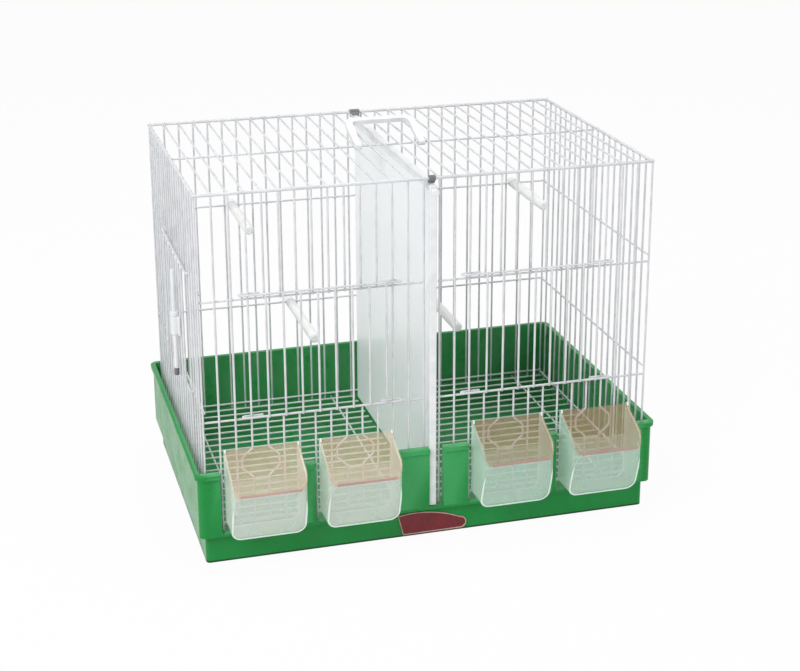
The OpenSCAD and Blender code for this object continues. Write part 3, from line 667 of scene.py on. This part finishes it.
def front_panel():
    panel = Welded("front_panel")
    y = -HALF_D
    for i in range(FRONT_SPACES + 1):
        at = i - FRONT_SPACES / 2
        x = at * PITCH
        top = FRONT_LEVELS[1] + WIRE_R if in_door(at) else ROOF_Z
        side = head_hole_side(at)
        if side:
            out = x + side * HOLE_SPREAD
            panel.wire([(x, y, LEDGE_Z), (x, y, HOLE_LOW), (out, y, HOLE_LOW + HOLE_LEAN),
                        (out, y, HOLE_HIGH - HOLE_LEAN), (x, y, HOLE_HIGH), (x, y, top)],
                       bend=BEND_R)
        else:
            panel.wire([(x, y, LEDGE_Z), (x, y, top)], bow=UPRIGHT_BOW)
        if in_door(at):
            panel.wire([(x, y, FRONT_LEVELS[2] - WIRE_R), (x, y, ROOF_Z)])
        for z in FRONT_LEVELS:
            panel.weld((x, y + STEP / 2, z), 1)
        panel.weld((x, y + EDGE_WELD_IN, ROOF_Z), 1, EDGE_R)
    inner = PITCH / 2 - WIRE_R
    for z in FRONT_LEVELS:
        for side in (-1, 1):
            panel.wire([(side * inner, y + STEP, z), (side * HALF_W, y + STEP, z)])
    reach = HALF_W + EDGE_R
    panel.wire([(-reach, y, ROOF_Z), (reach, y, ROOF_Z)], EDGE_R)
    panel.piece("cage", "white_wire", WHITE_WIRE)


def back_panel():
    panel = Welded("back_panel")
    y = HALF_D
    for i in range(FRONT_SPACES + 1):
        x = (i - FRONT_SPACES / 2) * PITCH
        panel.wire([(x, y, LEDGE_Z), (x, y, ROOF_Z)], bow=UPRIGHT_BOW)
        for z in SIDE_LEVELS:
            panel.weld((x, y - STEP / 2, z), 1)
        panel.weld((x, y - EDGE_WELD_IN, ROOF_Z), 1, EDGE_R)
    for z in SIDE_LEVELS:
        panel.wire([(-HALF_W, y - STEP, z), (HALF_W, y - STEP, z)])
    reach = HALF_W + EDGE_R
    panel.wire([(-reach, y, ROOF_Z), (reach, y, ROOF_Z)], EDGE_R)
    panel.piece("cage", "white_wire", WHITE_WIRE)


def side_panel(side, has_door, name):
    panel = Welded(name)
    x = side * HALF_W
    level_x = side * (HALF_W - STEP)
    reach = HALF_D - STEP - WIRE_R
    for i in range(1, SIDE_SPACES):
        y = i * PITCH - HALF_D
        if has_door and SIDE_DOOR_START < i < SIDE_DOOR_START + DOOR_SPACES:
            panel.wire([(x, y, LEDGE_Z), (x, y, SIDE_LEVELS[1] + WIRE_R)])
            panel.wire([(x, y, SIDE_LEVELS[2] - WIRE_R), (x, y, ROOF_Z)])
        else:
            panel.wire([(x, y, LEDGE_Z), (x, y, ROOF_Z)], bow=UPRIGHT_BOW)
        for z in SIDE_LEVELS:
            panel.weld((x - side * STEP / 2, y, z), 0)
        panel.weld((x - side * EDGE_WELD_IN, y, ROOF_Z), 0, EDGE_R)
    panel.wire([(level_x, -reach, FOOT_Z), (level_x, reach, FOOT_Z)])
    for z in SIDE_LEVELS[1:]:
        panel.wire([(level_x, -HALF_D, z), (level_x, reach, z)])
    panel.wire([(x, -HALF_D + EDGE_R, ROOF_Z), (x, HALF_D - EDGE_R, ROOF_Z)], EDGE_R)
    panel.piece("cage", "white_wire", WHITE_WIRE)


def top_panel():
    panel = Welded("top_panel")
    for i in range(1, FRONT_SPACES):
        x = (i - FRONT_SPACES / 2) * PITCH
        panel.wire([(x, -HALF_D + EDGE_R, ROOF_Z), (x, HALF_D - EDGE_R, ROOF_Z)],
                   bow=ROOF_BOW)
        panel.weld((x, 0, ROOF_Z - STEP / 2), 2)
        for side in (-1, 1):
            panel.weld((x, side * (HALF_D - ROOF_WELD_IN), ROOF_Z), 1, ROOF_WELD_R)
    reach = HALF_W - EDGE_R
    panel.wire([(-reach, 0, ROOF_Z - STEP), (reach, 0, ROOF_Z - STEP)])
    panel.piece("cage", "white_wire", WHITE_WIRE)


def floor_grille(side, name):
    grille = Welded(name)
    for i in range(SIDE_SPACES):
        y = (i + 0.5) * PITCH - HALF_D
        grille.wire([(side * GRILLE_INNER, y, GRILLE_Z), (side * GRILLE_OUTER, y, GRILLE_Z)],
                    GRILLE_R, bow=GRILLE_BOW)
        for x in SUPPORT_AT:
            grille.weld((side * x, y, (GRILLE_Z + SUPPORT_Z) / 2), 2, GRILLE_R)
    for x in SUPPORT_AT:
        grille.wire([(side * x, -SUPPORT_REACH, SUPPORT_Z),
                     (side * x, SUPPORT_REACH, SUPPORT_Z)], GRILLE_R)
    grille.piece("tray", "grille_wire", GRILLE_WIRE)


def lifting_door(name, body, height, matrix):
    """A door seen from outside: its left guide wire at x = 0, y = 0, its lower rail at z = 0."""
    door = Welded(name)
    width = DOOR_SPACES * PITCH
    turn = HOOK_REACH - RAIL_OUT - WIRE_R
    for z in (0.0, height):
        line = []
        for x, way in ((0.0, -1), (width, 1)):
            centre = Vector((x + way * turn, 0, z))
            arc = [centre + Vector((way * math.sin(a), math.cos(a), 0)) * RAIL_OUT
                   for a in (math.pi * i / 10 for i in range(11))]
            leg = Vector((centre.x - way * HOOK_LEG, RAIL_OUT, z))
            line += ([leg] + arc) if way < 0 else (arc[::-1] + [leg])
        door.wire(line)
        for i in range(DOOR_WIRES):
            door.weld((DOOR_FIRST + i * DOOR_STEP, -(RAIL_OUT + DOOR_WIRE_OUT) / 2, z), 1)
    for i in range(DOOR_WIRES):
        x = DOOR_FIRST + i * DOOR_STEP
        door.wire([(x, -DOOR_WIRE_OUT, -WIRE_R), (x, -DOOR_WIRE_OUT, height + WIRE_R)],
                  bow=DOOR_BOW)
    door.piece(body, "white_wire", WHITE_WIRE, matrix)


def lifting_doors():
    height = FRONT_LEVELS[2] - FRONT_LEVELS[1] + DOOR_LAP - RAIL_LIFT
    for name, body, guide in (("door_left", "left_front_door", DOOR_GUIDES[0]),
                              ("door_right", "right_front_door", DOOR_GUIDES[1])):
        place = Matrix.Translation((guide * PITCH, -HALF_D, FRONT_LEVELS[1] + RAIL_LIFT))
        lifting_door(name, body, height, place)
    height = SIDE_LEVELS[2] - SIDE_LEVELS[1] + DOOR_LAP - RAIL_LIFT
    door_y = -HALF_D + (SIDE_DOOR_START + DOOR_SPACES) * PITCH
    place = (Matrix.Translation((-HALF_W, door_y, SIDE_LEVELS[1] + RAIL_LIFT))
             @ Matrix.Rotation(math.radians(-90), 4, "Z"))
    lifting_door("side_door", "left_side_door", height, place)


# ---------------------------------------------------------------- moulded pieces
def merged_copy(node, name):
    """A copy of a CAD node's mesh with its doubles merged and its flat faces joined."""
    mesh = NODES[node].data.copy()
    mesh.name = name
    mesh.materials.clear()
    work = bmesh.new()
    work.from_mesh(mesh)
    bmesh.ops.remove_doubles(work, verts=work.verts, dist=MERGE_WITHIN * MM)
    bmesh.ops.dissolve_limit(work, angle_limit=math.radians(FLAT_ANGLE), verts=work.verts,
                             edges=work.edges, delimit=set())
    for face in work.faces:
        face.smooth = True
    work.to_mesh(mesh)
    work.free()
    made = bpy.data.objects.new(name, mesh)
    bpy.context.scene.collection.objects.link(made)
    return made


def rounded_edges(piece, width, segments, angle, second_finish):
    """Rounds the sharp edges. The rounded faces may take the second finish."""
    bevel = piece.modifiers.new("rounded", "BEVEL")
    bevel.width = width * MM
    bevel.segments = segments
    bevel.limit_method = "ANGLE"
    bevel.angle_limit = math.radians(angle)
    bevel.use_clamp_overlap = True
    bevel.miter_outer = "MITER_ARC"
    if second_finish:
        bevel.material = 1
    shading = piece.modifiers.new("even_shading", "WEIGHTED_NORMAL")
    shading.keep_sharp = False
    shading.weight = 80


def moulded(node, body, finishes, width, segments, angle=SHARP, dress=None):
    piece = merged_copy(node, node + "_shape")
    for finish in finishes:
        piece.data.materials.append(finish)
    if dress is not None:
        dress(piece.data)
    rounded_edges(piece, width, segments, angle, len(finishes) > 1)
    place_piece(baked(piece, node), body, node)


def bright_rim(mesh):
    """Gives the narrow upper faces of a cup's walls the finish of its edges."""
    for face in mesh.polygons:
        corners = [mesh.vertices[i].co for i in face.vertices]
        around = sum((a - b).length for a, b in zip(corners, corners[1:] + corners[:1]))
        high_up = min(corner.z for corner in corners) > CUP_RIM_LOW * MM
        narrow = 2 * face.area / around < CUP_RIM_W * MM
        if high_up and narrow and face.normal.z > 0.5:
            face.material_index = 1


def pink_front(mesh):
    """Gives the turned front edge of a hood its own finish."""
    low = min(v.co.z for v in mesh.vertices)
    for face in mesh.polygons:
        highest = max(mesh.vertices[i].co.z for i in face.vertices)
        if highest < low + HOOD_EDGE_H * MM and face.normal.y < 0.2:
            face.material_index = 1


# Each piece of one moulded finish: node, body, slot, finish, how wide its edges are rounded, and
# in how many steps
MOULDED = (
    ("base_tray", "tray", "tray_plastic", TRAY_GREEN, 0.7, 3),
    ("divider_guide", "cage", "white_plastic", WHITE_PLASTIC, 0.3, 2),
    # The front clip's dark grey is painted shade, set between the front top wire and the divider's
    # top.
    ("front_clip", "cage", "dark_plastic", DARK_PLASTIC_AND_SHADE, 0.3, 2),
    ("rear_clip", "cage", "dark_plastic", DARK_PLASTIC_AND_SHADE, 0.3, 2),
    ("divider_panel", "divider", "divider_sheet", DIVIDER_SHEET, 0.4, 2),
    ("divider_edge", "divider", "white_plastic", WHITE_PLASTIC, 0.8, 3),
    ("divider_knob", "divider", "white_plastic", WHITE_PLASTIC, 0.7, 3),
    ("bolt_sleeve", "left_side_door", "white_plastic", WHITE_PLASTIC, 0.4, 2),
    ("side_bolt", "drop_bolt", "white_plastic", WHITE_PLASTIC, 0.6, 3),
    ("bolt_tip", "drop_bolt", "dark_plastic", DARK_PLASTIC_AND_SHADE, 0.8, 3),
    ("carry_handle", "handle", "white_plastic", WHITE_PLASTIC, 0.9, 3),
)


def moulded_pieces():
    for node, body, slot, finish, width, segments in MOULDED:
        moulded(node, body, [finish], width, segments)
    for i in range(1, 5):
        left = i < 3
        moulded(f"feeder_cup_{i}", f"feeder_{i}",
                [CUP_MILKY if left else CUP_CLEAR, CUP_EDGE], 0.75, 2, FEEDER_SHARP, bright_rim)
        moulded(f"feeder_hood_{i}", f"hood_{i}",
                [HOOD_MILKY if left else HOOD_TINTED, HOOD_EDGE], 0.3, 1, FEEDER_SHARP, pink_front)


def swept(work, outline, rings, x, z):
    """Adds a closed bar about (x, z), which takes a share of its outline at each ring."""
    loops = [[work.verts.new(((x + px * share) * MM, y * MM, (z + pz * share) * MM))
              for px, pz in outline] for y, share in rings]
    for first, second in zip(loops, loops[1:]):
        for i in range(len(outline)):
            j = (i + 1) % len(outline)
            work.faces.new((first[i], first[j], second[j], second[i]))
    work.faces.new(list(reversed(loops[0])))
    work.faces.new(loops[-1])


def fluted_perches():
    """Perches with shallow flutes along them, a domed front end and a slotted rear end."""
    around = PERCH_FLUTES * FLUTE_STEPS
    outline = []
    for i in range(around):
        a = 2 * math.pi * i / around
        r = PERCH_R * (1 - FLUTE_DEPTH + FLUTE_DEPTH * math.cos(a * PERCH_FLUTES))
        outline.append((r * math.cos(a), r * math.sin(a)))
    for name, x, z, front_y in PERCHES:
        work = bmesh.new()
        tip = tuple((front_y + back, share) for back, share in PERCH_TIP)
        swept(work, outline, tip + PERCH_REAR, x, z)
        for way in (-1, 1):
            part = [(px, pz) for px, pz in outline if pz * way > PERCH_SLOT_HALF]
            part.sort(key=lambda p: -p[0] * way)
            edge = PERCH_SLOT_HALF * way
            swept(work, [(part[0][0], edge)] + part + [(part[-1][0], edge)], PERCH_PRONG, x, z)
        bmesh.ops.recalc_face_normals(work, faces=work.faces)
        for face in work.faces:
            face.smooth = len(face.verts) == 4
        mesh = bpy.data.meshes.new(name)
        work.to_mesh(mesh)
        work.free()
        mesh.materials.append(PERCH_PALE)
        perch = bpy.data.objects.new(name + "_look", mesh)
        bpy.context.scene.collection.objects.link(perch)
        place_piece(perch, "cage", name)


def badge():
    """The bare plate: its face is sunk inside a raised pale rim."""
    piece = merged_copy("front_badge", "badge_shape")
    mesh = piece.data
    mesh.materials.append(BADGE_FIELD)
    mesh.materials.append(BADGE_PALE)
    work = bmesh.new()
    work.from_mesh(mesh)
    front = min(work.faces, key=lambda f: f.calc_center_median().y)
    for thickness, sunk in ((BADGE_RIM, 0.0), (BADGE_SLOPE, BADGE_SUNK)):
        made = bmesh.ops.inset_region(work, faces=[front], thickness=thickness * MM,
                                      depth=-sunk * MM)
        for face in made["faces"]:
            face.material_index = 1
    for face in work.faces:
        face.smooth = abs(face.normal.y) < 0.5
        if face.smooth:
            face.material_index = 1
    work.to_mesh(mesh)
    work.free()
    place_piece(baked(piece, "front_badge"), "tray", "front_badge")


# ---------------------------------------------------------------- floor, light and camera
def studio_look(f, surface, white, share):
    """Mixes a share of plain white into a surface where it is seen, mirrored or seen through.

    The rest is the surface's own look, which keeps the shadow."""
    path = f.tree.nodes.new("ShaderNodeLightPath")
    seen = (Term(f, path.outputs["Is Camera Ray"]) + Term(f, path.outputs["Is Glossy Ray"])
            + Term(f, path.outputs["Is Transmission Ray"])).clamped()
    glow = f.node("ShaderNodeEmission", {}, {"Color": white, "Strength": 1.0})
    return f.node("ShaderNodeMixShader", {}, {0: seen * share, 1: surface, 2: glow})


def floor():
    bpy.ops.mesh.primitive_plane_add(size=FLOOR_SIDE, location=(0.0, 0.0, 0.0))
    plane = bpy.context.object
    plane.name = "studio_floor"
    f = Finish("floor_white", Roughness=0.9, Specular_IOR_Level=0.1)
    f.set("Base Color", f.colour(f.noise(3.0), (0.82, 0.82, 0.82), (0.84, 0.84, 0.84)))
    look = studio_look(f, Term(f, f.shader.outputs[0]), (1.0, 1.0, 1.0), FLOOR_WHITE)
    f.tree.links.new(look.socket, f.output.inputs[0])
    plane.data.materials.append(f.material)
    plane.location.z = -FLOOR_DROP


def world_light():
    """White where it is seen, mirrored or seen through plastic, and dimmer as a light."""
    world = bpy.data.worlds.new("studio")
    bpy.context.scene.world = world
    world.use_nodes = True
    tree = world.node_tree
    tree.nodes.clear()
    path = tree.nodes.new("ShaderNodeLightPath")
    seen = path.outputs["Is Camera Ray"]
    for ray in ("Is Transmission Ray", "Is Glossy Ray"):
        either = tree.nodes.new("ShaderNodeMath")
        either.operation = "MAXIMUM"
        tree.links.new(seen, either.inputs[0])
        tree.links.new(path.outputs[ray], either.inputs[1])
        seen = either.outputs[0]
    strength = tree.nodes.new("ShaderNodeMapRange")
    tree.links.new(seen, strength.inputs["Value"])
    strength.inputs["To Min"].default_value = WORLD_DIFFUSE
    strength.inputs["To Max"].default_value = 1.0
    light = tree.nodes.new("ShaderNodeBackground")
    light.inputs["Color"].default_value = (1.0, 1.0, 1.0, 1.0)
    tree.links.new(strength.outputs[0], light.inputs["Strength"])
    out = tree.nodes.new("ShaderNodeOutputWorld")
    tree.links.new(light.outputs[0], out.inputs[0])


# Each lamp: name, where it hangs, what it faces, its side in metres, its power in watts
LAMPS = (
    ("key_lamp", (-1.8, -1.4, 1.9), (0.0, 0.0, 0.15), 1.3, 42.0),
    ("fill_lamp", (1.7, -1.5, 1.2), (0.0, 0.0, 0.15), 1.6, 10.0),
    ("top_lamp", (0.1, 0.5, 2.4), (0.0, 0.0, 0.1), 1.6, 17.0),
)


def lamps():
    for name, place, target, side, power in LAMPS:
        light = bpy.data.lights.new(name, "AREA")
        light.shape = "SQUARE"
        light.size = side
        light.energy = power
        lamp = bpy.data.objects.new(name, light)
        bpy.context.scene.collection.objects.link(lamp)
        lamp.location = place
        lamp.rotation_euler = (Vector(target) - Vector(place)).to_track_quat("-Z", "Y").to_euler()


# The photograph's view, fitted to the cage's corners and levels
CAMERA_AT = (-0.42268, -1.53541, 0.74373)
CAMERA_YAW = 16.46
CAMERA_PITCH = -18.03
CAMERA_ROLL = -0.01
CAMERA_LENS = 74.674
CAMERA_SHIFT = (-0.02509, -0.08458)


def camera():
    lens = bpy.data.cameras.new("photo_camera")
    lens.sensor_fit = "HORIZONTAL"
    lens.sensor_width = 36.0
    lens.lens = CAMERA_LENS
    lens.shift_x, lens.shift_y = CAMERA_SHIFT
    lens.clip_start = 0.05
    made = bpy.data.objects.new("photo_camera", lens)
    bpy.context.scene.collection.objects.link(made)
    turn = (Matrix.Rotation(math.radians(-CAMERA_YAW), 4, "Z")
            @ Matrix.Rotation(math.radians(90 + CAMERA_PITCH), 4, "X")
            @ Matrix.Rotation(math.radians(CAMERA_ROLL), 4, "Z"))
    made.matrix_world = Matrix.Translation(CAMERA_AT) @ turn
    bpy.context.scene.camera = made


# ---------------------------------------------------------------- the cage
camera()
world_light()
lamps()
floor()
front_panel()
back_panel()
side_panel(-1, True, "side_panel_left")
side_panel(1, False, "side_panel_right")
top_panel()
floor_grille(-1, "floor_grille_left")
floor_grille(1, "floor_grille_right")
lifting_doors()
moulded_pieces()
fluted_perches()
badge()

bpy.context.scene.view_settings.view_transform = "Standard"
